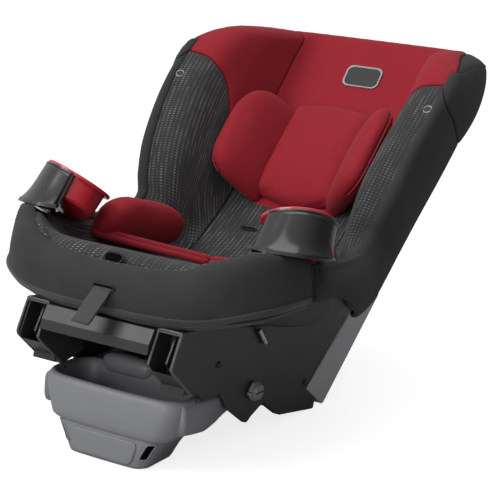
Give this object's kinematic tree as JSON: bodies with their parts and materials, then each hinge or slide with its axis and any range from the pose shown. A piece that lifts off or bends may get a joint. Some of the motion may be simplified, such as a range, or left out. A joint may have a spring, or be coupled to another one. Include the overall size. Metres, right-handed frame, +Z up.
{
  "type": "convertible car seat",
  "caption": "Reclined child car seat with padded winged shell, red head pillow and hip insert, twin cup holders, belt-path base and a swing-out recline foot.",
  "frame": {"origin": "on the ground, on the seat's centre plane, below the bight where the seat meets the back", "axes": "+X to the seated child's left, +Y to the rear of the seat (the head end), +Z up; the seat rests in its reclined rear-facing position on the recline foot and the base's rear edge"},
  "size_m": [0.4426, 0.7908, 0.4816],
  "materials": {
    "black_plastic": "satin, fine moulded grain",
    "grey_plastic": "satin, fine moulded grain",
    "steel": "bright zinc",
    "jacquard": "knit with rows of short light dashes",
    "charcoal_fabric": "plain knit",
    "crimson_fabric": "smooth knit",
    "foam": "expanded foam",
    "badge": "satin",
    "gloss_black": "polished",
    "gloss_crimson": "polished",
    "webbing": "woven webbing",
    "button_red": "satin"
  },
  "bodies": {
    "seat": {"seat_shell": "black_plastic", "shell_cross_brace": "steel", "base_side_left": "black_plastic", "base_side_right": "black_plastic", "base_front_beam": "black_plastic", "base_rear_panel": "black_plastic", "base_floor_tray": "black_plastic", "rear_trim_left": "grey_plastic", "rear_trim_right": "grey_plastic", "seat_cover": "jacquard", "apron_cover": "charcoal_fabric", "back_pad": "jacquard", "wing_cover_left": "jacquard", "wing_cover_right": "jacquard", "side_cover_left": "charcoal_fabric", "side_cover_right": "charcoal_fabric", "head_cover": "crimson_fabric", "side_foam_left": "foam", "side_foam_right": "foam", "badge_patch": "badge", "wing_badge_left": "badge", "wing_badge_right": "badge", "seat_insert": "crimson_fabric", "cup_holder_left": "gloss_black", "cup_holder_right": "gloss_black", "adjuster_housing": "black_plastic", "adjuster_pin": "steel", "harness_strap_left": "webbing", "harness_strap_right": "webbing", "crotch_strap": "webbing", "anchor_bar": "steel", "anchor_strap": "webbing", "anchor_latch_left": "black_plastic", "anchor_latch_right": "black_plastic", "tether_strap": "webbing", "tether_hook": "steel", "base_screws": "steel", "shell_rod_left": "steel", "shell_rod_right": "steel"},
    "foot": {"recline_foot": "grey_plastic", "foot_pivot_rod": "steel", "pivot_knob_left": "grey_plastic", "pivot_knob_right": "grey_plastic"},
    "pillow": {"head_pillow": "crimson_fabric", "pillow_flap": "crimson_fabric"},
    "cup_left": {"cup_liner_left": "gloss_crimson"},
    "cup_right": {"cup_liner_right": "gloss_crimson"},
    "release_lever": {"adjuster_lever": "steel"},
    "pull_strap": {"adjuster_strap": "webbing"},
    "splitter": {"splitter_plate": "steel"},
    "buckle": {"buckle_housing": "black_plastic"},
    "buckle_button": {"buckle_button": "button_red"},
    "tongue_left": {"buckle_tongue_left": "steel"},
    "tongue_right": {"buckle_tongue_right": "steel"},
    "anchor_button_left": {"anchor_button_left": "grey_plastic"},
    "anchor_button_right": {"anchor_button_right": "grey_plastic"},
    "tether_gate": {"tether_gate": "steel"}
  },
  "joints": [
    {"name": "recline_foot_swing", "type": "hinge", "parent": "seat", "child": "foot", "pos_m": [0, -0.134, 0.074], "axis": [1, 0, 0], "range_deg": [0, 95]},
    {"name": "head_pillow_slide", "type": "slide", "parent": "seat", "child": "pillow", "axis": [0, 0.7373, 0.6756], "range_m": [-0.01, 0.04]},
    {"name": "cup_liner_left_lift", "type": "slide", "parent": "seat", "child": "cup_left", "axis": [-0.0488, 0.6, 0.7985], "range_m": [0, 0.09]},
    {"name": "cup_liner_right_lift", "type": "slide", "parent": "seat", "child": "cup_right", "axis": [0.0488, 0.6, 0.7985], "range_m": [0, 0.09]},
    {"name": "release_lever_press", "type": "hinge", "parent": "seat", "child": "release_lever", "pos_m": [0, -0.249, 0.192], "axis": [1, 0, 0], "range_deg": [0, 14]},
    {"name": "pull_strap_draw", "type": "slide", "parent": "seat", "child": "pull_strap", "axis": [0, -0.8471, -0.5314], "range_m": [0, 0.03]},
    {"name": "splitter_plate_travel", "type": "slide", "parent": "seat", "child": "splitter", "axis": [0, -0.8229, -0.5683], "range_m": [0, 0.03]},
    {"name": "buckle_lift", "type": "hinge", "parent": "seat", "child": "buckle", "pos_m": [0, -0.12417, 0.19755], "axis": [-1, 0, 0], "range_deg": [0, 60]},
    {"name": "buckle_button_press", "type": "slide", "parent": "buckle", "child": "buckle_button", "axis": [0, -0.3256, -0.9455], "range_m": [0, 0.0024]},
    {"name": "buckle_tongue_left_slide", "type": "slide", "parent": "buckle", "child": "tongue_left", "axis": [0, -0.9455, 0.3256], "range_m": [0, 0.02]},
    {"name": "buckle_tongue_right_slide", "type": "slide", "parent": "buckle", "child": "tongue_right", "axis": [0, -0.9455, 0.3256], "range_m": [0, 0.02]},
    {"name": "anchor_button_left_press", "type": "slide", "parent": "seat", "child": "anchor_button_left", "axis": [0, 0, -1], "range_m": [0, 0.004]},
    {"name": "anchor_button_right_press", "type": "slide", "parent": "seat", "child": "anchor_button_right", "axis": [0, 0, -1], "range_m": [0, 0.004]},
    {"name": "tether_gate_swing", "type": "hinge", "parent": "seat", "child": "tether_gate", "pos_m": [0.0107, 0.29157, 0.27595], "axis": [0, -0.648, 0.7616], "range_deg": [0, 12]}
  ],
  "couplings": [
    {"joint": "splitter_plate_travel", "follows": "pull_strap_draw", "ratio": 1}
  ]
}
